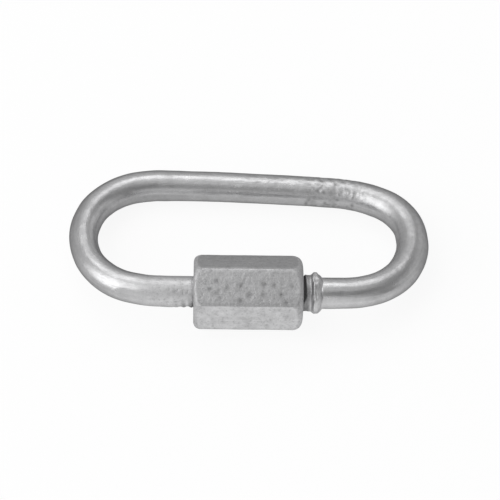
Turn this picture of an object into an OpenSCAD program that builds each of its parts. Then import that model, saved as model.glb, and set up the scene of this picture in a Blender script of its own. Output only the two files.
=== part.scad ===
// Chain quick link: an oval of round bar with a gate in one side, closed by a long hexagon nut.
// The link lies on a flat surface, on its back arm and on the nut's lowest corner.
// Millimetres and degrees. +X runs along the link towards the collar, +Y towards the back arm.

/* [Bar] */
// Diameter of the round bar
bar_d = 3.2; // [2.4:0.1:4]
// Straight run of the gate arm, between the starts of the two bows
straight_len = 19.2; // [17:0.1:30]
// Centreline radius of the bow that the nut is screwed back towards
left_bow_r = 7.8; // [6.5:0.1:12]
// Centreline radius of the bow beside the collar
right_bow_r = 7.3; // [6.5:0.1:12]

/* [Gate] */
// Height of the rolled thread's crests above the bar
thread_rise = 0.275; // [0.2:0.025:0.4]
// Pitch of the thread
thread_pitch = 0.75; // [0.5:0.05:1]
// Length of the short stub, from the collar to its tip
short_stub_len = 2.5; // [1.8:0.1:3.5]
// Length of full thread on the long stub
long_thread_len = 4.7; // [3:0.1:5.5]
// Length over which the long stub's thread runs out into the bar
runout_len = 1.6; // [0.5:0.1:2]
// Clear opening between the two tips
gate_gap = 3.35; // [2.5:0.05:4.5]
// Chamfer on each tip
tip_chamfer = 0.4; // [0.1:0.05:0.6]

/* [Collar] */
// Distance from the middle of the gate arm to the middle of the collar
collar_x = 6.45; // [6:0.05:7.2]
// Height of the collar above the bar
collar_rise = 0.55; // [0.45:0.05:0.8]
// Width of the collar's rounded bead
collar_w = 1; // [0.8:0.05:1.2]
// Radius of the fillet between the collar and the bar
collar_fillet = 0.35; // [0.2:0.05:0.5]

/* [Nut] */
// Length of the nut
nut_len = 11.1; // [9:0.1:12]
// Size across the nut's flats
nut_flats = 6.8; // [6.5:0.1:9]
// Height turned off the six long corners
nut_corner_trim = 0.05; // [0.05:0.05:0.2]
// Radius turned on each end of the nut
nut_end_round = 1.1; // [0.7:0.05:1.4]
// Countersink at each mouth of the bore
mouth_chamfer = 0.1; // [0.05:0.05:0.3]
// Radial clearance between the thread and the bore
thread_clearance = 0.05; // [0.02:0.01:0.1]
// Clearance left between the nut and the collar when the nut is screwed home
seat_clearance = 0.02; // [0.01:0.01:0.1]
// Turns that the nut is backed off from there
nut_backed_off = 1.25; // [0:0.25:2]
// Turn of the nut about its axis, from a corner straight down
nut_turn = 2.5; // [-30:0.5:30]

/* [Hidden] */
$fn = 96;

zinc_bar = [0.72, 0.72, 0.73];
zinc_nut = [0.66, 0.66, 0.67];

bar_r = bar_d / 2;
half_straight = straight_len / 2;
thread_r = bar_r + thread_rise;

// The collar is a round bead; its fillet touches both the bead and the bar
bead_r = collar_w / 2;
bead_centre_r = bar_r + collar_rise - bead_r;
fillet_centre_r = bar_r + collar_fillet;
fillet_x = collar_x + sqrt((bead_r + collar_fillet) ^ 2 - (fillet_centre_r - bead_centre_r) ^ 2);

// Places along the gate arm, from the collar back to the long stub's run-out
collar_face_x = collar_x - bead_r;
short_tip_x = collar_face_x - short_stub_len;
long_tip_x = short_tip_x - gate_gap;
full_thread_x = long_tip_x - long_thread_len;
runout_x = full_thread_x - runout_len;

// The two bows' centres lie on one line, and the bar is alike on both sides of it
left_centre = [-half_straight, left_bow_r, 0];
right_centre = [half_straight, right_bow_r, 0];
half_taper = atan((left_bow_r - right_bow_r) / straight_len);
// Sweep of each bow past the centre line before it is cut there, and a size larger than the link
bow_overrun = 20;
beyond = straight_len + 2 * (left_bow_r + right_bow_r);

// Nut sections
bore_r = thread_r + thread_clearance;
mouth_r = bore_r + mouth_chamfer;
sharp_corner_r = nut_flats / 2 / cos(30);
corner_r = sharp_corner_r - nut_corner_trim;
end_face_r = corner_r - nut_end_round;
corner_land = 30 - acos(nut_flats / 2 / corner_r);
// The nut is home when its countersink, at 45 degrees, comes up against the collar's bead
home_x = collar_x + mouth_r - bead_centre_r - sqrt(2) * bead_r - seat_clearance;
nut_right_x = home_x - nut_backed_off * thread_pitch;

// How far the nut reaches from its axis towards a direction that lies so many degrees from a corner
function nut_reach(from_corner) = corner_r * cos(max(0, abs(from_corner) - corner_land));

// Lying at rest: the gate axis is as high as the nut reaches down, and the widest bow touches down
gate_axis_z = nut_reach(nut_turn);
back_reach = 2 * max(left_bow_r, right_bow_r);
tilt = asin((gate_axis_z - bar_r) / back_reach);

// The gate axis is set so that the middle of the whole outline lies over the origin
front_y = nut_reach(30 - abs(nut_turn));
back_y = back_reach * cos(tilt) + bar_r;
gate_axis = [(left_bow_r - right_bow_r) / 2, (front_y - back_y) / 2, gate_axis_z];

// Turns a shape that is drawn round +Z so that it lies along +X
module along_x() {
    rotate([0, 90, 0]) children();
}

// Solid of revolution about the gate axis: the outline's first number is the radius, its second the place on X
module turned() {
    along_x() rotate_extrude() children();
}

// Arc of bar about a centre, from one angle to the next
module bow(centre, radius, from_angle, to_angle) {
    translate(centre)
        rotate_extrude(start = from_angle, angle = to_angle - from_angle)
            translate([radius, 0]) circle(r = bar_r);
}

// One side of the bar, on its centre line: an arm, given along the gate axis, and the near half of each bow
module side() {
    difference() {
        rotate([0, 0, half_taper]) translate(-left_centre) {
            children();
            bow(left_centre, left_bow_r, 180 - bow_overrun, 270);
            bow(right_centre, right_bow_r, -90, bow_overrun);
        }
        translate([-beyond, 0, -beyond]) cube([3 * beyond, beyond, 2 * beyond]);
    }
}

module back_arm() {
    translate([-half_straight, 0, 0]) along_x() cylinder(h = straight_len, r = bar_r);
}

// Long half of the gate arm: plain bar, run-out, rolled thread up to its crests, chamfered tip
module long_stub() {
    turned() polygon([
        [0, -half_straight],
        [bar_r, -half_straight],
        [bar_r, runout_x],
        [thread_r, full_thread_x],
        [thread_r, long_tip_x - tip_chamfer],
        [thread_r - tip_chamfer, long_tip_x],
        [0, long_tip_x]
    ]);
}

// Short half of the gate arm: chamfered tip and thread up to the collar, then plain bar
module short_stub() {
    turned() polygon([
        [0, short_tip_x],
        [thread_r - tip_chamfer, short_tip_x],
        [thread_r, short_tip_x + tip_chamfer],
        [thread_r, collar_x],
        [bar_r, collar_x],
        [bar_r, half_straight],
        [0, half_straight]
    ]);
}

// Bead swaged round the bar, that the nut is tightened against
module collar() {
    turned() translate([bead_centre_r, collar_x]) circle(r = bead_r);
    turned() difference() {
        polygon([
            [0, collar_x],
            [bead_centre_r, collar_x],
            [fillet_centre_r, fillet_x],
            [0, fillet_x]
        ]);
        translate([fillet_centre_r, fillet_x]) circle(r = collar_fillet);
    }
}

module link_body() {
    color(zinc_bar)
        translate(gate_axis) rotate([-tilt, 0, 0])
            translate(left_centre) rotate([0, 0, -half_taper]) {
                side() {
                    long_stub();
                    short_stub();
                    collar();
                }
                mirror([0, 1, 0]) side() back_arm();
            }
}

// Outline that the nut's corners and ends are turned to: radius, then place along the nut
module nut_outline() {
    square([end_face_r, nut_len]);
    translate([0, nut_end_round]) square([corner_r, nut_len - 2 * nut_end_round]);
    for (end = [nut_end_round, nut_len - nut_end_round])
        translate([end_face_r, end]) circle(r = nut_end_round);
}

// Hexagon bar turned to that outline
module nut_blank() {
    intersection() {
        cylinder(h = nut_len, r = sharp_corner_r, $fn = 6);
        rotate_extrude() nut_outline();
    }
}

// Through bore at the thread's full diameter, countersunk at both mouths
module nut_bore() {
    rotate_extrude() polygon([
        [0, 0],
        [mouth_r, 0],
        [bore_r, mouth_chamfer],
        [bore_r, nut_len - mouth_chamfer],
        [mouth_r, nut_len],
        [0, nut_len]
    ]);
}

module hex_nut() {
    color(zinc_nut)
        translate(gate_axis + [nut_right_x - nut_len, 0, 0])
            rotate([-nut_turn, 0, 0])
                along_x() difference() {
                    nut_blank();
                    nut_bore();
                }
}

link_body();
hex_nut();
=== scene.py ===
import bpy
import numpy as np
from mathutils import Matrix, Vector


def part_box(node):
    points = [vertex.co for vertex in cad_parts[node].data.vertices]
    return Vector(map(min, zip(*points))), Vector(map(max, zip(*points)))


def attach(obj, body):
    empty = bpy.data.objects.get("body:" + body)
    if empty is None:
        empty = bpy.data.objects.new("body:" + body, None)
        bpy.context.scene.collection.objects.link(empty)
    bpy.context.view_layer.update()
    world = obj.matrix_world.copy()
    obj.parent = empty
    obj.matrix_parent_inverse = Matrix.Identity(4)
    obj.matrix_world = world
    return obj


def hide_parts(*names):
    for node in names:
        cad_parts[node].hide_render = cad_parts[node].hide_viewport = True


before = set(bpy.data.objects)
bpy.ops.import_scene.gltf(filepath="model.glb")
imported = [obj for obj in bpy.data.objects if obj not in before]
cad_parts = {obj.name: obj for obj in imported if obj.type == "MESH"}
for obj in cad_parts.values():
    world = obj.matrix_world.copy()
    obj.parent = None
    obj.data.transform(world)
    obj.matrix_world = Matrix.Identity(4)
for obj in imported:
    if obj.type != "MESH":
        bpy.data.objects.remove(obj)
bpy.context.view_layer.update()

# The bar of the link.
# Steel rod bent round two bows into a long oval, open in one arm where its two ends face each other.
# Both ends have a rolled thread, a bead is swaged round the bar behind the short one, all zinc plated.
METRES = 0.001
bar_radius = 1.6
gate_arm = 19.2
left_bow_radius, right_bow_radius = 7.8, 7.3
floor_gap = 0.017

# Millimetres along the gate arm from its middle, towards the bead where positive
long_tip, short_tip = 0.1, 3.45
full_thread_end, crest_runout_end, groove_runout_end = -4.6, -6.2, -8.1
neck_start, neck_rise_length, neck_sooner_below = 5.15, 0.5, 0.45
bead_start, crown_start, crown_end, bead_end = 5.92, 6.38, 6.6, 7.15
rim_middle, rim_reach, rim_rise = 6.98, 0.08, 0.035
nut_right_end = 5.1604

# Radii and form of the gate's threads, neck and bead
tip_radius, neck_radius, bead_reach = 1.475, 1.84, 2.15
thread_crest, thread_root, thread_pitch = 1.875, 1.46, 0.75
thread_start = 0.166
root_flat, crest_flat = 0.227, 0.133

nut_low, nut_high = (np.array(corner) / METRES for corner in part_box("hex_nut"))
gate_axis = (nut_low + nut_high) / 2
gate_axis[0] = nut_high[0] - nut_right_end
tilt = np.arcsin((gate_axis[2] - bar_radius) / (2 * left_bow_radius))

# Lengths along the bar from the long tip; at arm_end the back arm meets the right bow
arm_taper = 2 * np.arctan((left_bow_radius - right_bow_radius) / gate_arm)
long_arm, short_arm = gate_arm / 2 + long_tip, gate_arm / 2 - short_tip
left_arc = left_bow_radius * (np.pi + arm_taper)
right_arc = right_bow_radius * (np.pi - arm_taper)
arm_end = long_arm + left_arc + gate_arm
bar_length = arm_end + right_arc + short_arm

# Where the bend strays and the bar swells along it, how far each reaches, and how high it is
bend_strays = (
    (10.9, 1.8, -0.07), (16, 3, 0.11), (22.5, 4.5, 0.05), (28, 3, 0.12), (33.7, 1.8, -0.08),
    (44.8, 8, 0.18), (55.9, 2.2, -0.13), (61, 2.5, 0.06), (65.8, 3.2, -0.085), (75.3, 2, -0.06),
)
bar_swells = ((19.2, 4.4, -0.12), (33, 4.2, 0.075), (60.5, 4.5, 0.08), (68.2, 4.2, 0.08))
round_bell, flat_bell = 2, 4


def ramp(x, start, length):
    """Straight rise from 0 at the start to 1 a length further on, or back where the length is negative."""
    return np.clip((x - start) / length, 0, 1)


def eased(share):
    """Share from 0 to 1 with soft ends: its square, times three less twice itself."""
    return share * share * (3 - 2 * share)


def bells(x, places, power):
    """Sum of bells: each is its height times the exponential of minus the distance from its middle over
    its reach, raised to the power, which is 2 for a round bell and 4 for a flat-topped one."""
    return sum(height * np.exp(-((x - middle) / reach) ** power) for middle, reach, height in places)


def facing_share(turn, middle, edge, fade):
    """Share from 0 to 1 of the bar's side round a turn: the cosine of the angle from there, which counts
    from the edge and is full a fade above it."""
    return ramp(np.cos(turn - middle), edge, fade)


def laid_down(along, across, out):
    """Points given along the gate arm, across towards the back arm and out of the link's plane, in
    millimetres, carried to where the link lies: turned about the gate axis until the back arm is down."""
    return np.stack([
        gate_axis[0] + along,
        gate_axis[1] + across * np.cos(tilt) + out * np.sin(tilt),
        gate_axis[2] - across * np.sin(tilt) + out * np.cos(tilt),
    ], axis=-1)


def bar_centreline(s):
    """Centreline at lengths s from the long tip: each straight adds its length times its direction, and each
    bow adds its radius times the change in the cosine and sine of the angle at which the oval's outside
    faces. The bend strays outwards, or inwards where negative, by a flat-topped bell at each place in
    bend_strays. Gives the two coordinates in the link's plane, and that angle."""
    in_left = np.clip(s - long_arm, 0, left_arc) / left_bow_radius
    in_back = np.clip(s - long_arm - left_arc, 0, gate_arm)
    in_right = np.clip(s - arm_end, 0, right_arc) / right_bow_radius
    in_short = np.clip(s - (bar_length - short_arm), 0, short_arm)
    facing_left = -np.pi / 2 - in_left
    facing_back = -np.pi / 2 - left_arc / left_bow_radius
    facing_right = facing_back - in_right
    along = (long_tip - np.clip(s, 0, long_arm) - in_short
             + left_bow_radius * np.cos(facing_left)
             + in_back * np.sin(facing_back)
             + right_bow_radius * (np.cos(facing_right) - np.cos(facing_back)))
    across = (left_bow_radius * (np.sin(facing_left) + 1)
              - in_back * np.cos(facing_back)
              + right_bow_radius * (np.sin(facing_right) - np.sin(facing_back)))
    facing = facing_left - in_right
    stray = bells(s, bend_strays, flat_bell)
    return along + stray * np.cos(facing), across + stray * np.sin(facing), facing


def thread_wave(along, turn, flat_at_root, flat_at_crest):
    """Thread form from 0 at the root to 1 at the crest. The phase is the place in pitches less the turn in
    revolutions, so the helix is right-handed. The flanks rise between the two flats, half straight and half
    eased."""
    phase = along / thread_pitch - turn / (2 * np.pi) - thread_start
    from_root = 2 * np.abs(phase - np.floor(phase) - 0.5)
    flank = ramp(from_root, flat_at_root, 1 - flat_at_crest - flat_at_root)
    return (flank + eased(flank)) / 2


def long_stub_radius(along, turn):
    """Radius on the long stub: thread between a crest line and a root line that both run out into the bar,
    the roots further than the crests and deeper on the underside, cut by the chamfer at the tip."""
    depth_below, runout_curve = 1.25, 0.6
    crested = ramp(along, crest_runout_end, full_thread_end - crest_runout_end)
    grooved = ramp(along, groove_runout_end, full_thread_end - groove_runout_end)
    below = facing_share(turn, np.radians(240), 0.5, 0.5)
    crest = bar_radius + (thread_crest - bar_radius) * crested
    depth = (1 - below) * crested + depth_below * below * grooved ** runout_curve
    root = bar_radius - (bar_radius - thread_root) * depth
    radius = root + (crest - root) * thread_wave(along, turn, root_flat, crest_flat)
    return np.minimum(radius, tip_radius + np.maximum(long_tip - along, 0))


def neck_underside(turn):
    """Share from 0 to 1 that is full on the neck's underside at the front and fades out up its sides."""
    return facing_share(turn, np.radians(215), 0.3, 0.5)


def short_stub_radius(along, turn):
    """Radius on the short stub: chamfered tip, and thread whose roots rise to a neck, sooner on its
    underside. Then a bead rises from the neck and falls to the bar in eased steps, to and fro by a cosine
    of six waves a turn, with a fine rim left at its foot."""
    sway, sway_start, sway_fade = 0.08, 6.1, 0.25
    rising = ramp(along, neck_start - neck_sooner_below * neck_underside(turn), neck_rise_length)
    root = thread_root + (neck_radius - thread_root) * rising
    radius = root + (thread_crest - root) * thread_wave(along, turn, root_flat, crest_flat)
    radius = np.minimum(radius, tip_radius + np.maximum(along - short_tip, 0))
    along = along + sway * np.cos(6 * turn) * ramp(along, sway_start, sway_fade)
    rise = eased(ramp(along, bead_start, crown_start - bead_start))
    fall = eased(ramp(along, crown_end, bead_end - crown_end))
    radius = np.where(along > crown_end, bead_reach - (bead_reach - bar_radius) * fall,
                      radius + (bead_reach - radius) * rise)
    return radius + bells(along, ((rim_middle, rim_reach, rim_rise),), round_bell)


def soft_waves(points, seed, count, longest, shortest):
    """Slow unevenness between about -1 and 1 at points in space: a sum of cosine waves, in directions,
    lengths and phases drawn from the seed."""
    draw = np.random.default_rng(seed)
    heading = draw.normal(size=(3, count))
    heading = heading / np.linalg.norm(heading, axis=0)
    heading = heading * 2 * np.pi / draw.uniform(shortest, longest, count)
    return np.cos(points @ heading + draw.uniform(0, 2 * np.pi, count)).sum(axis=-1) / np.sqrt(count)


def nicks(u, v, girth, seed, count, u_range, v_range, sizes, depths, slender):
    """Depth of small dents: each is a bell over an oval footprint, at a place along u and round the girth v,
    with a size, slant and depth drawn from the seed inside the given ranges. The deepest counts."""
    draw = np.random.default_rng(seed)
    total = np.zeros(np.broadcast(u, v).shape)
    for _ in range(count):
        du, dv = u - draw.uniform(*u_range), v - draw.uniform(*v_range)
        dv = np.mod(dv + girth / 2, girth) - girth / 2
        slant, long, short = draw.uniform(0, np.pi), draw.uniform(*sizes), draw.uniform(*sizes) * slender
        p = (du * np.cos(slant) + dv * np.sin(slant)) / long
        q = (dv * np.cos(slant) - du * np.sin(slant)) / short
        total = np.maximum(total, draw.uniform(*depths) * np.exp(-(p * p + q * q)))
    return total


# Crowds of dents, and of blots of dirt in them: the seed, how many, from and to along the bar, from and to
# round it, least and most size, least and most depth or shade, and breadth over length
bar_girth = 2 * np.pi * bar_radius
battered_edge = (61, 26, (arm_end - 3.9, arm_end + 2.1), (1.9, 3.6), (0.18, 0.4), (0.012, 0.045), 0.9)
battered_side = (57, 40, (arm_end - 3.8, arm_end + 1.2), (-1.2, 1.7), (0.26, 0.55), (0.01, 0.034), 0.9)
battered_back = (15, 44, (arm_end - 5, arm_end + 3), (2.8, 5.4), (0.2, 0.5), (0.008, 0.034), 0.9)
dinted_arm = (14, 34, (arm_end - 11, arm_end - 3.5), (1.8, 3.2), (0.14, 0.34), (0.008, 0.024), 0.9)
light_all_round = (17, 220, (10, 78), (0, bar_girth), (0.06, 0.2), (0.004, 0.014), 0.6)
beside_nut = (19, 34, (5.9, 9.5), (3.4, 6.2), (0.08, 0.26), (0.008, 0.03), 1.0)
blots_on_side = (39, 60, (arm_end - 4.2, arm_end + 1.2), (-1.3, 1.8), (0.16, 0.36), (0.35, 0.95), 0.7)
blots_on_back = (36, 24, (arm_end - 4.4, arm_end + 2.8), (2.6, 5.2), (0.14, 0.34), (0.3, 0.8), 0.9)
bar_dents = (battered_edge, battered_side, battered_back, dinted_arm, light_all_round, beside_nut)
bar_blots = (blots_on_side, blots_on_back)


def deepest(s, turn, crowds):
    """Depth or shade of the deepest of several crowds of dents or blots at each point of the bar."""
    return np.maximum.reduce([nicks(s, bar_radius * turn, bar_girth, *crowd) for crowd in crowds])


# Wear: how far from each tip that of plain bar starts, and its depths; how far from the short tip the
# bead's lumps start and end, and their depths; and the battered part's middle, reach and depth
plain_after_thread, plain_before_bead, plain_fade = 8.6, 4.5, 1.5
plain_wear, slow_wear, quick_wear = 0.016, 0.009, 0.0045
lumps_start, lumps_rise, lumps_end, lumps_fall = 2.7, 0.25, 3.72, 0.35
lumps_wear, lumps_height = 0.06, 0.075
battered_part = (arm_end - 0.4, 3.6, 0.014)


def straightened(s, turn):
    """Points of the bar as if it were straight: the length along it, and the turn as a circle of its
    radius."""
    circle = bar_radius * np.cos(turn), bar_radius * np.sin(turn)
    return np.stack(np.broadcast_arrays(s, *circle), axis=-1)


def bar_skin(s, turn):
    """Surface of the bar: the centreline plus, at each turn round it, the radius along the way in and out of
    the plane. The turn counts from the inside of the oval towards its upper face. The radius is that of the
    bar or stub less the slow waves of plain bar, the lumps of the bead, the waves of the battered part and
    the dents. Where the bar would pass below the floor gap it is flat."""
    along, across, facing = bar_centreline(s)
    radius = bar_radius + bells(s, bar_swells, round_bell) + 0 * turn
    radius = np.where(s < long_arm, long_stub_radius(long_tip - s, turn), radius)
    from_short_tip = bar_length - s
    short_stub = short_stub_radius(short_tip + from_short_tip, turn)
    radius = np.where(from_short_tip < short_arm, short_stub, radius)
    way = straightened(s, turn)

    plain = ramp(s, plain_after_thread, plain_fade) * ramp(from_short_tip, plain_before_bead, plain_fade)
    slow = soft_waves(way, seed=4, count=12, longest=7, shortest=2.5)
    quick = soft_waves(way, seed=5, count=24, longest=1.8, shortest=0.8)
    radius = radius - plain * (plain_wear + slow_wear * slow + quick_wear * quick)

    lumpy = ramp(from_short_tip, lumps_start, lumps_rise) * ramp(from_short_tip, lumps_end, -lumps_fall)
    lumps = soft_waves(way, seed=7, count=20, longest=1.2, shortest=0.6)
    radius = np.minimum(radius - lumpy * (lumps_wear + lumps_height * lumps), bead_reach)

    battered = bells(s, (battered_part,), flat_bell) * facing_share(turn, 1.0, -0.3, 1.0)
    waves = soft_waves(way * (1.4, 1, 1), seed=8, count=30, longest=1.3, shortest=0.55)
    radius = radius - battered * waves
    radius = radius - deepest(s, turn, bar_dents)

    reach_in, reach_out = radius * np.cos(turn), radius * np.sin(turn)
    points = laid_down(along - reach_in * np.cos(facing), across - reach_in * np.sin(facing), reach_out)
    points[..., 2] = np.maximum(points[..., 2], floor_gap)
    return points


def net_of_faces(rows, columns, rows_meet):
    """Corner numbers of the four-sided faces of a net whose columns close on themselves, and whose last row
    meets the first where rows_meet says so."""
    number = np.arange(rows * columns).reshape(rows, columns)
    beside = np.roll(number, -1, axis=1)
    below, below_beside = np.roll(number, -1, axis=0), np.roll(beside, -1, axis=0)
    faces = np.stack([number, below, below_beside, beside], axis=-1)
    return (faces if rows_meet else faces[:-1]).reshape(-1, 4)


def piece_from(name, points, faces):
    """Mesh object with these points in millimetres and these faces, smooth, at the origin."""
    mesh = bpy.data.meshes.new(name)
    mesh.from_pydata((points * METRES).tolist(), [], faces)
    mesh.polygons.foreach_set("use_smooth", np.ones(len(mesh.polygons), bool))
    mesh.update()
    piece = bpy.data.objects.new(name, mesh)
    bpy.context.scene.collection.objects.link(piece)
    return piece


def keep_on(piece, name, values):
    """Keeps a number or a vector at each of the piece's points, as an attribute that its material reads."""
    kind, key = ("FLOAT", "value") if values.ndim == 1 else ("FLOAT_VECTOR", "vector")
    kept = piece.data.attributes.new(name, kind, "POINT")
    kept.data.foreach_set(key, values.astype(np.float32).ravel())


# Rings lie closest on the threads and the bead, closer on the dented stretch, and wider on plain bar
columns = 132
turns = np.arange(columns) * 2 * np.pi / columns
thread_stretch_end = 8.4
dented_start, dented_end = arm_end - 11.4, arm_end + 3.5
bead_stretch_start, bead_stretch_end = bar_length - (7.6 - short_tip), bar_length - (5.9 - short_tip)
thread_step, plain_step, dented_step, bead_step, stub_rings = 0.055, 0.22, 0.1, 0.035, 46
lengths = np.concatenate([
    np.arange(0, thread_stretch_end, thread_step),
    np.arange(thread_stretch_end, dented_start, plain_step),
    np.arange(dented_start, dented_end, dented_step),
    np.arange(dented_end, bead_stretch_start, plain_step),
    np.arange(bead_stretch_start, bead_stretch_end, bead_step),
    np.linspace(bead_stretch_end, bar_length, stub_rings),
])
skin = bar_skin(lengths[:, None], turns[None, :])

# Each end is closed by a few rings that shrink to a middle point
cap_rings = np.array([0.12, 0.55, 0.93, 0.985])[:, None, None]
long_end, short_end = skin[0].mean(axis=0), skin[-1].mean(axis=0)
skin = np.concatenate([
    long_end + cap_rings * (skin[0] - long_end),
    skin,
    short_end + cap_rings[::-1] * (skin[-1] - short_end),
])
rows = len(skin)
first_ring = np.arange(columns)
last_ring = (rows - 1) * columns + first_ring
long_middle, short_middle = np.full(columns, rows * columns), np.full(columns, rows * columns + 1)
bar_faces = (
    net_of_faces(rows, columns, False).tolist()
    + np.stack([long_middle, first_ring, np.roll(first_ring, -1)], axis=-1).tolist()
    + np.stack([short_middle, np.roll(last_ring, -1), last_ring], axis=-1).tolist()
)
bar = piece_from("bar", np.concatenate([skin.reshape(-1, 3), [long_end, short_end]]), bar_faces)

# Way of the drawn bar, that its streaks follow
cap_lengths = np.zeros(len(cap_rings))
ring_lengths = np.concatenate([cap_lengths, lengths, cap_lengths + bar_length])[:, None]
drawn_way = straightened(ring_lengths, turns).reshape(-1, 3)
keep_on(bar, "drawn_way", np.concatenate([drawn_way, [[0, 0, 0], [bar_length, 0, 0]]]))

# Dark places: dents, dirt in them and in the thread, dirt and painted shade on the neck between the nut and
# the bead, a dull stretch, and painted shade on the thread's crests below beside the nut
darkest_dent, dark_end = 0.07, 0.9
dented = np.minimum(deepest(ring_lengths, turns, bar_dents) / darkest_dent, 1)
dull_stretch = bells(ring_lengths, ((64.5, 7.5, 0.2),), flat_bell)
thread_dirt = 0.75 * ramp(ring_lengths, 5.6, -0.8)
# Neck and thread in the gap between the nut and the bead are darker: dirt, and painted shade from the nut
neck_dirt_and_shade = ramp(ring_lengths, bar_length - 2.55, 0.3) * (0.7 + 0.5 * neck_underside(turns))
# Painted shade: the run-out thread's crests on the underside beside the nut are darker
shade_on_crests = facing_share(turns, np.radians(225), 0.45, 0.4) * ramp(ring_lengths, 8.6, -2)
shade_on_crests = shade_on_crests * thread_wave(long_tip - ring_lengths, turns, 0, 0.2)
dark = np.maximum.reduce([
    dented, deepest(ring_lengths, turns, bar_blots), dull_stretch + thread_dirt + neck_dirt_and_shade, shade_on_crests])
keep_on(bar, "dents_dirt_and_shade", np.concatenate([dark.ravel(), [dark_end, dark_end]]))

# Rubbed places: beside the nut, on the bead and round the battered part
rubbed_by_nut, rubbed_bead = ramp(ring_lengths, 12.5, -2.5), ramp(ring_lengths, bar_length - 4, 0.3)
rubbed_bend = ramp(np.abs(ring_lengths - (arm_end - 1.25)), 4.8, -3)
rubbed = rubbed_by_nut + 0.5 * rubbed_bead + 0.3 * rubbed_bend
keep_on(bar, "rubbed", np.concatenate([np.repeat(rubbed, columns), [1, 0]]))


def node(tree, kind, inputs=None, **settings):
    """New node with its settings, and its inputs set to values or joined to other nodes' outputs."""
    made = tree.nodes.new(kind)
    for key, value in settings.items():
        setattr(made, key, value)
    for key, value in (inputs or {}).items():
        if isinstance(value, bpy.types.NodeSocket):
            tree.links.new(value, made.inputs[key])
        else:
            made.inputs[key].default_value = value
    return made


def sums(tree, operation, first, second, third=None):
    """Result of one arithmetic step on numbers or sockets."""
    given = {0: first, 1: second} if third is None else {0: first, 1: second, 2: third}
    return node(tree, "ShaderNodeMath", given, operation=operation).outputs[0]


def noise(tree, place, scale, detail):
    """Noise between about 0 and 1 at a place, in waves of one over the scale."""
    given = {"Vector": place, "Scale": scale, "Detail": detail, "Roughness": 0.6}
    return node(tree, "ShaderNodeTexNoise", given).outputs[0]


def shaded(tree, colour, lightness):
    """Colour times a lightness that varies over the surface."""
    given = {0: colour, "Scale": lightness}
    return node(tree, "ShaderNodeVectorMath", given, operation="SCALE").outputs[0]


def kept_value(tree, name):
    """Number kept at the piece's points under a name."""
    return node(tree, "ShaderNodeAttribute", attribute_name=name).outputs["Fac"]


def zinc_plating():
    """Zinc plating as it varies over a surface, on coordinates in millimetres. Slow clouds, a mottle and a
    fine speckle make the colour lighter and darker, the piece's own darkening mask darkens it (pits on the
    nut; dents, dirt and painted shade on the bar), and the same fields set the roughness and a height for
    bump."""
    group = bpy.data.node_groups.new("zinc plating", "ShaderNodeTree")
    number, colour, vector = "NodeSocketFloat", "NodeSocketColor", "NodeSocketVector"
    for name, kind in (("Place", vector), ("Plating", colour), ("Darkening", number), ("Cloud", number),
                       ("Speckle", number), ("Darkening strength", number), ("Specks", number), ("Satin", number)):
        group.interface.new_socket(name, in_out="INPUT", socket_type=kind)
    for name, kind in (("Colour", colour), ("Roughness", number), ("Height", number)):
        group.interface.new_socket(name, in_out="OUTPUT", socket_type=kind)
    given = group.nodes.new("NodeGroupInput").outputs

    clouds, mottle = noise(group, given["Place"], 0.5, 3), noise(group, given["Place"], 1.7, 3)
    grain, fine = noise(group, given["Place"], 4.2, 3), noise(group, given["Place"], 9, 2)
    cloud = sums(group, "MULTIPLY", sums(group, "SUBTRACT", clouds, 0.5), given["Cloud"])
    cloud = sums(group, "MULTIPLY_ADD", sums(group, "SUBTRACT", mottle, 0.5), given["Cloud"], cloud)
    speckle = sums(group, "MULTIPLY_ADD", fine, 0.6, sums(group, "SUBTRACT", grain, 0.8))
    speckle = sums(group, "MULTIPLY", speckle, given["Speckle"])
    coarse = node(group, "ShaderNodeMapRange", {"Value": grain, "From Min": 0.52, "From Max": 0.72})
    specks = sums(group, "MULTIPLY", coarse.outputs[0], given["Specks"])
    darkness = sums(group, "MULTIPLY_ADD", given["Darkening"], given["Darkening strength"], specks)

    lightness = sums(group, "ADD", sums(group, "ADD", 1.0, cloud), speckle)
    lightness = sums(group, "SUBTRACT", lightness, darkness)
    roughness = sums(group, "SUBTRACT", given["Satin"], sums(group, "MULTIPLY", cloud, 0.5))
    roughness = sums(group, "ADD", roughness, sums(group, "MULTIPLY", darkness, 0.35))
    height = sums(group, "MULTIPLY_ADD", fine, 0.2, sums(group, "SUBTRACT", mottle, grain))
    node(group, "NodeGroupOutput", {"Colour": shaded(group, given["Plating"], lightness),
                                    "Roughness": roughness, "Height": height})
    return group


plating = zinc_plating()


def grey(level):
    """Neutral colour of one level."""
    return (level, level, level, 1)


def zinc_grey(level):
    """Grey of zinc, a little bluer than neutral."""
    return (level, level, level * 1.01, 1)


def bare_metal(name, edge_shade):
    """Metal with nothing joined to its shader yet; the edge shade greys what it mirrors at grazing angles, a
    painted shade along its outlines. Gives the material, its tree and its shader.
    """
    material = bpy.data.materials.new(name)
    material.use_nodes = True
    tree = material.node_tree
    shader = tree.nodes["Principled BSDF"]
    shader.inputs["Metallic"].default_value = 1.0
    shader.inputs["Specular Tint"].default_value = grey(edge_shade)
    return material, tree, shader


bar_zinc, tree, shader = bare_metal("bar zinc", 0.35)
scuff = kept_value(tree, "rubbed")
drawn = node(tree, "ShaderNodeAttribute", attribute_name="drawn_way").outputs["Vector"]
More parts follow.
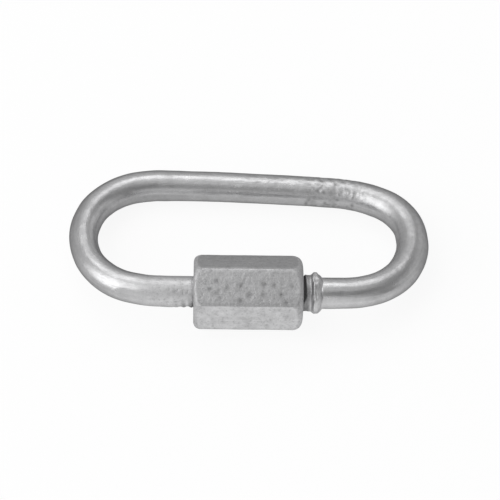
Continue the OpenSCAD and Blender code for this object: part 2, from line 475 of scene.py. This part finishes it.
# Its darkening mask is the bar's dents, dirt and painted shade
zinc = node(tree, "ShaderNodeGroup", {
    "Place": drawn, "Plating": zinc_grey(0.57), "Darkening": kept_value(tree, "dents_dirt_and_shade"),
    "Cloud": 0.3, "Speckle": 0.3, "Darkening strength": 0.42,
    "Specks": sums(tree, "MULTIPLY_ADD", scuff, 0.18, 0.08),
    "Satin": sums(tree, "MULTIPLY_ADD", scuff, 0.17, 0.31),
}, node_tree=plating).outputs
stretched = node(tree, "ShaderNodeMapping", {"Vector": drawn, "Scale": (0.11, 3.0, 3.0)}).outputs[0]
streaks = sums(tree, "SUBTRACT", noise(tree, stretched, 1.0, 2), 0.5)
streaks = sums(tree, "MULTIPLY", streaks, sums(tree, "MULTIPLY_ADD", scuff, -0.7, 1.0))
lightness = sums(tree, "MULTIPLY_ADD", streaks, 0.32, sums(tree, "MULTIPLY_ADD", scuff, 0.14, 1.0))
roughness = sums(tree, "MULTIPLY_ADD", streaks, -0.1, zinc["Roughness"])
bump = node(tree, "ShaderNodeBump", {"Height": sums(tree, "ADD", streaks, zinc["Height"]),
                                     "Strength": 1.0, "Distance": 0.016 * METRES})
tree.links.new(shaded(tree, zinc["Colour"], lightness), shader.inputs["Base Color"])
tree.links.new(roughness, shader.inputs["Roughness"])
tree.links.new(bump.outputs[0], shader.inputs["Normal"])
bar.data.materials.append(bar_zinc)
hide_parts("link_body")
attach(bar, "link")

# The hexagon nut.
# Long sleeve of hexagon steel bar, its ends turned round, bored and tapped through, zinc plated. It is
# screwed on the long end, bridges the gate onto the short one and stands 1.25 turns off the bead.
nut_half = 5.55
flat_reach, corner_reach, corner_sharpness = 3.4, 3.876, 11
left_round, right_round, crease_round = 0.85, 1.1, 0.26
nut_turn = np.radians(2.5)
mouth_radius, bore_radius, tapped_root = 2.025, 1.925, 2.15
girth_radius = 3.6
face_shares = np.array([0, 0.04, 0.35, 0.7, 0.95])[:, None]


def nut_outer(turn):
    """Distance of the nut's side from its axis: the nearer of the hexagon's flat and the turned corner,
    blended by the logarithm of the sum of their exponentials, so that the edges are a little round."""
    from_normal = np.mod(turn + nut_turn + np.pi / 6, np.pi / 3) - np.pi / 6
    flat = flat_reach / np.cos(from_normal)
    blend = np.logaddexp(-corner_sharpness * flat, -corner_sharpness * corner_reach)
    return -blend / corner_sharpness


def nut_end(turn, end_round):
    """One end of the nut from its mouth out to the start of the flats, as rows of place and radius at each
    turn: a flat face, a round of the turned radius up to the side, and a small crease between the two,
    rounded by a curve that is drawn towards the sharp edge."""
    side, face_radius = nut_outer(turn), corner_reach - end_round
    swing = np.arcsin(np.clip((side - face_radius) / end_round, 0, 1))
    on_face = mouth_radius + face_shares * (face_radius - mouth_radius) + 0 * turn
    angle = np.linspace(0, 1, 8)[:, None] * np.maximum(swing - crease_round / end_round, 0)
    arc_place = nut_half - end_round * (1 - np.cos(angle))
    arc_radius = face_radius + end_round * np.sin(angle)
    t = np.linspace(0, 1, 9)[1:, None]
    first, drawn_to, last = (1 - t) ** 2, 2 * t * (1 - t), t * t
    edge_place = nut_half - end_round * (1 - np.cos(swing))
    bend_place = first * arc_place[-1] + drawn_to * edge_place + last * (edge_place - crease_round)
    bend_radius = first * arc_radius[-1] + drawn_to * side + last * side
    return (np.concatenate([nut_half + 0 * on_face, arc_place, bend_place]),
            np.concatenate([on_face, arc_radius, bend_radius]))


def nut_bore(turn):
    """The bore from the left mouth to the right one: countersinks, and a tapped groove in step with the
    bar's thread that starts inside each mouth and is cut out from the bore."""
    inner_end, mouth_step = nut_half - 0.09, 0.01
    place = np.concatenate([[-nut_half, -nut_half + mouth_step], np.linspace(-inner_end, inner_end, 140),
                            [nut_half - mouth_step]])[:, None]
    from_mouth = nut_half - np.abs(place)
    wave = thread_wave(place + nut_right_end - nut_half, turn + tilt, 0.3, 0.2)
    tapped = bore_radius + ramp(from_mouth, 0.35, 0.4) * (tapped_root - bore_radius) * wave
    sunk = mouth_radius - np.minimum(from_mouth, mouth_radius - bore_radius)
    return place + 0 * turn, np.maximum(tapped, sunk)


# Turns lie closest at the corners
half_side = np.concatenate([np.linspace(0, 4.2, 8), np.linspace(5, 30, 16)])
from_corner = np.radians(np.concatenate([half_side, 60 - half_side[-2:0:-1]]))
nut_turns = (np.arange(6)[:, None] * np.pi / 3 + from_corner).ravel() + np.pi / 6 - nut_turn
bore_place, bore_radii = nut_bore(nut_turns)
right_place, right_radius = nut_end(nut_turns, right_round)
left_place, left_radius = nut_end(nut_turns, left_round)
rightward = (1 + np.linspace(1, -1, 142)[1:-1, None]) / 2
flat_place = rightward * right_place[-1] - (1 - rightward) * left_place[-1]
flat_radius = nut_outer(nut_turns) + 0 * flat_place
place = np.concatenate([bore_place, right_place, flat_place, -left_place[:0:-1]])
radius = np.concatenate([bore_radii, right_radius, flat_radius, left_radius[:0:-1]])

# Rows of the bore with the right face, the right round, the flats, the left round and the left face
face_rows = len(face_shares)
row_counts = [len(bore_place) + face_rows, len(right_place) - face_rows, len(flat_place),
              len(left_place) - face_rows, face_rows - 1]
outside = np.repeat([0, 1, 1, 1, 0], row_counts)[:, None]
turned = np.repeat([0, 1, 0, 1, 0], row_counts)[:, None]

# Wear: slow and quick waves, the deep pits seen on the upper face, and small ones all round. Each deep pit
# has its place along the nut, its share of the way down the face, and its size
seen_pits = (
    (0.11, 0.69, 0.34), (-3.19, 0.66, 0.26), (-2.81, 0.79, 0.24), (-3.9, 0.54, 0.26), (-2.09, 0.49, 0.26),
    (-0.79, 0.44, 0.28), (-0.79, 0.85, 0.24), (1.53, 0.4, 0.3), (1.47, 0.7, 0.26), (2.57, 0.43, 0.26),
    (3.35, 0.69, 0.28), (4.39, 0.44, 0.24), (-3.19, 0.3, 0.22), (3.8, 0.88, 0.24),
)
pit_depth, small_pit_share = 0.016, 0.5
nut_wear, nut_slow_wear, nut_quick_wear = 0.014, 0.006, 0.0022
upper_corner = np.pi / 2 - nut_turn
girth, whole_girth = girth_radius * nut_turns, girth_radius * 2 * np.pi
deep_pits = np.zeros(radius.shape)
for pit_place, down_face, size in seen_pits:
    pit_girth = girth_radius * (upper_corner + down_face * np.pi / 3)
    apart = ((place - pit_place) ** 2 + (girth - pit_girth) ** 2) / size ** 2
    deep_pits = np.maximum(deep_pits, np.exp(-apart))
small_pits = nicks(place, girth, whole_girth, seed=29, count=420, u_range=(-5.2, 5.2),
                   v_range=(0, whole_girth), sizes=(0.07, 0.17), depths=(0.2, 1), slender=0.9)
pits = outside * np.maximum(deep_pits, small_pit_share * small_pits)
nut_way = np.stack([place, radius * np.cos(nut_turns), radius * np.sin(nut_turns)], axis=-1)
slow = soft_waves(nut_way, seed=23, count=14, longest=5, shortest=1.6)
quick = soft_waves(nut_way, seed=24, count=40, longest=0.9, shortest=0.35)
worn = nut_wear + nut_slow_wear * slow + nut_quick_wear * quick
radius = radius - outside * worn - pit_depth * pits
nut_points = np.stack([
    gate_axis[0] + nut_right_end - nut_half + place,
    gate_axis[1] + radius * np.cos(nut_turns),
    gate_axis[2] + radius * np.sin(nut_turns),
], axis=-1)
nut = piece_from("nut", nut_points.reshape(-1, 3), net_of_faces(*radius.shape, True).tolist())
keep_on(nut, "pitted", pits.ravel())
keep_on(nut, "turned_end", (turned + 0 * radius).ravel())

nut_zinc, tree, shader = bare_metal("nut zinc", 0.4)
in_metres = node(tree, "ShaderNodeTexCoord").outputs["Object"]
on_nut = node(tree, "ShaderNodeMapping", {"Vector": in_metres, "Scale": (1 / METRES,) * 3}).outputs[0]
zinc = node(tree, "ShaderNodeGroup", {
    "Place": on_nut, "Plating": zinc_grey(0.575), "Darkening": kept_value(tree, "pitted"),
    "Cloud": 0.4, "Speckle": 0.25, "Darkening strength": 0.38, "Specks": 0.28,
    "Satin": sums(tree, "MULTIPLY_ADD", kept_value(tree, "turned_end"), 0.22, 0.42),
}, node_tree=plating).outputs
stretched = node(tree, "ShaderNodeMapping", {"Vector": on_nut, "Scale": (0.14, 4.0, 4.0)}).outputs[0]
lightness = sums(tree, "MULTIPLY_ADD", noise(tree, stretched, 1.0, 2), 0.24, 0.88)
bump = node(tree, "ShaderNodeBump", {"Height": zinc["Height"],
                                     "Strength": 1.0, "Distance": 0.026 * METRES})
tree.links.new(shaded(tree, zinc["Colour"], lightness), shader.inputs["Base Color"])
tree.links.new(zinc["Roughness"], shader.inputs["Roughness"])
tree.links.new(bump.outputs[0], shader.inputs["Normal"])
nut.data.materials.append(nut_zinc)
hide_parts("hex_nut")
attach(nut, "nut")

# The floor.
# White table that the link lies on, wide enough to fill the view from every side. What the metal mirrors of
# it is a painted reflection, dimmer than what the camera sees, and dimmest at the back, at both sides and in
# a painted shadow near the link.
floor_half, floor_drop = 900, 0.02
floor_corners = np.array([[-1, -1], [1, -1], [1, 1], [-1, 1]]) * floor_half
floor_points = np.column_stack([floor_corners, np.full(4, -floor_drop)])
floor = piece_from("floor", floor_points, [[0, 1, 2, 3]])
paper = bpy.data.materials.new("white table")
paper.use_nodes = True
tree = paper.node_tree
tree.nodes.remove(tree.nodes["Principled BSDF"])


def between(tree, value, start, end, low, high):
    """Value carried from the stretch between start and end to that between low and high, and held there."""
    given = {"Value": value, "From Min": start, "From Max": end, "To Min": low, "To Max": high}
    return node(tree, "ShaderNodeMapRange", given).outputs[0]


glow = node(tree, "ShaderNodeEmission", {"Color": grey(1), "Strength": 0.89}).outputs[0]
shadowed = node(tree, "ShaderNodeBsdfDiffuse", {"Color": grey(0.12)}).outputs[0]
seen = node(tree, "ShaderNodeAddShader", {0: glow, 1: shadowed}).outputs[0]
spot = node(tree, "ShaderNodeTexCoord").outputs["Object"]
axes = node(tree, "ShaderNodeSeparateXYZ", {0: spot}).outputs
front = between(tree, axes["Y"], 0.014, -0.012, 0.0, 1.0)
off_right = between(tree, axes["X"], 0.022, 0.008, 0.6, 1.0)
off_left = between(tree, axes["X"], -0.018, -0.007, 0.6, 1.0)
bright = sums(tree, "MULTIPLY", sums(tree, "MULTIPLY", front, off_right), off_left)
bright = sums(tree, "MULTIPLY_ADD", bright, 0.52, 0.47)
# Painted shadow round a spot near the link, in what the metal mirrors of the floor
painted_shadow_offset = (0.0105, -0.001, 0)
from_painted_shadow = node(tree, "ShaderNodeMapping", {"Vector": spot, "Location": painted_shadow_offset}).outputs[0]
from_painted_shadow = node(tree, "ShaderNodeVectorMath", {0: from_painted_shadow}, operation="LENGTH").outputs["Value"]
painted_shadow = between(tree, from_painted_shadow, 0.002, 0.007, 0.7, 1.0)
bright = sums(tree, "MULTIPLY", bright, painted_shadow)
mirrored = node(tree, "ShaderNodeEmission", {"Strength": bright}).outputs[0]
to_camera = node(tree, "ShaderNodeLightPath").outputs["Is Camera Ray"]
shown = node(tree, "ShaderNodeMixShader", {0: to_camera, 1: mirrored, 2: seen}).outputs[0]
tree.links.new(shown, tree.nodes["Material Output"].inputs["Surface"])
floor.data.materials.append(paper)

# The studio light.
# A grey room, lighter on the left and overhead and darker in a patch above the front, with a window on the
# left, a long soft box high at the back, a dim wall behind, a low box in front and a low wall on the right.
scene = bpy.context.scene
world = bpy.data.worlds.new("studio")
world.use_nodes = True
scene.world = world
tree = world.node_tree
direction = node(tree, "ShaderNodeTexCoord").outputs["Generated"]


def towards(tree, direction, heading):
    """How far a direction points along a heading: their dot product."""
    given = {0: direction, 1: heading}
    return node(tree, "ShaderNodeVectorMath", given, operation="DOT_PRODUCT").outputs["Value"]


room = between(tree, towards(tree, direction, (-0.8, -0.1, 0)), -0.9, 0.9, 0.2, 0.65)
overhead = node(tree, "ShaderNodeSeparateXYZ", {0: direction}).outputs["Z"]
ceiling = between(tree, overhead, 0.83, 1.0, 0.0, 0.31)
dark_patch = between(tree, towards(tree, direction, (0.17, -0.55, 0.82)), 0.92, 0.985, 0.0, 0.2)
lit_room = sums(tree, "SUBTRACT", sums(tree, "ADD", room, ceiling), dark_patch)
background = tree.nodes["Background"].inputs
background["Color"].default_value = grey(1)
tree.links.new(lit_room, background["Strength"])


def soft_box(name, azimuth, elevation, distance, width, height, radiance):
    """Area light that faces the link from an azimuth, counted from the front towards the right, and an
    elevation, both in degrees. Its power is pi times its area times the radiance that the metal mirrors."""
    a, e = np.radians(azimuth), np.radians(elevation)
    back = np.array([np.sin(a) * np.cos(e), -np.cos(a) * np.cos(e), np.sin(e)])
    across = np.cross([0, 0, 1], back)
    across = across / np.linalg.norm(across)
    light = bpy.data.lights.new(name, "AREA")
    light.shape, light.size, light.size_y = "RECTANGLE", width, height
    light.energy = np.pi * width * height * radiance
    lamp = bpy.data.objects.new(name, light)
    turned_and_placed = np.column_stack([across, np.cross(back, across), back, back * distance])
    lamp.matrix_world = Matrix(np.vstack([turned_and_placed, [0, 0, 0, 1]]))
    lamp.visible_camera = False
    scene.collection.objects.link(lamp)


soft_box("window", -69, 38, 0.45, 0.35, 0.52, 1.5)
soft_box("back box", -167, 56, 0.45, 0.40, 0.25, 1.2)
soft_box("back wall", 178, 20, 0.6, 0.55, 0.36, 0.2)
soft_box("front box", 0, 13, 0.6, 0.75, 0.34, 0.38)
soft_box("right wall", 108, 17, 0.6, 1.0, 0.34, 0.46)

# The camera.
# A long lens from above the front, as in the photograph, turned a little about its own axis and aimed so
# that the link sits above the middle. Its angles are counted from the link's own tilted plane.
picture = 500
focal_pixels, camera_distance = 2225, 231.9
camera_elevation, camera_azimuth, camera_roll = np.radians((45.35, 1.867, 2.0))
middle_right, middle_up = 1.17, 10.11
ce, se = np.cos(camera_elevation), np.sin(camera_elevation)
ca, sa = np.cos(camera_azimuth), np.sin(camera_azimuth)
cr, sr = np.cos(camera_roll), np.sin(camera_roll)
view = (np.array([[cr, -sr, 0], [sr, cr, 0], [0, 0, 1]])
        @ np.array([[1, 0, 0], [0, -se, -ce], [0, ce, -se]])
        @ np.array([[ca, -sa, 0], [sa, ca, 0], [0, 0, 1]]))
lying = np.array([[1, 0, 0], [0, np.cos(tilt), np.sin(tilt)], [0, -np.sin(tilt), np.cos(tilt)]])
right, down, away = (lying @ axis for axis in view)
link_middle = laid_down(0, (left_bow_radius + right_bow_radius) / 2, 0)
aim = (down * middle_up - right * middle_right) * camera_distance / focal_pixels
eye = link_middle - away * camera_distance + aim
camera = bpy.data.objects.new("camera", bpy.data.cameras.new("camera"))
camera.data.sensor_width = 36
camera.data.lens = focal_pixels * camera.data.sensor_width / picture
camera.data.clip_start, camera.data.clip_end = 0.01, 10
stand = np.column_stack([right, -down, -away, eye * METRES])
camera.matrix_world = Matrix(np.vstack([stand, [0, 0, 0, 1]]))
scene.collection.objects.link(camera)
scene.camera = camera
scene.view_settings.view_transform = "Standard"
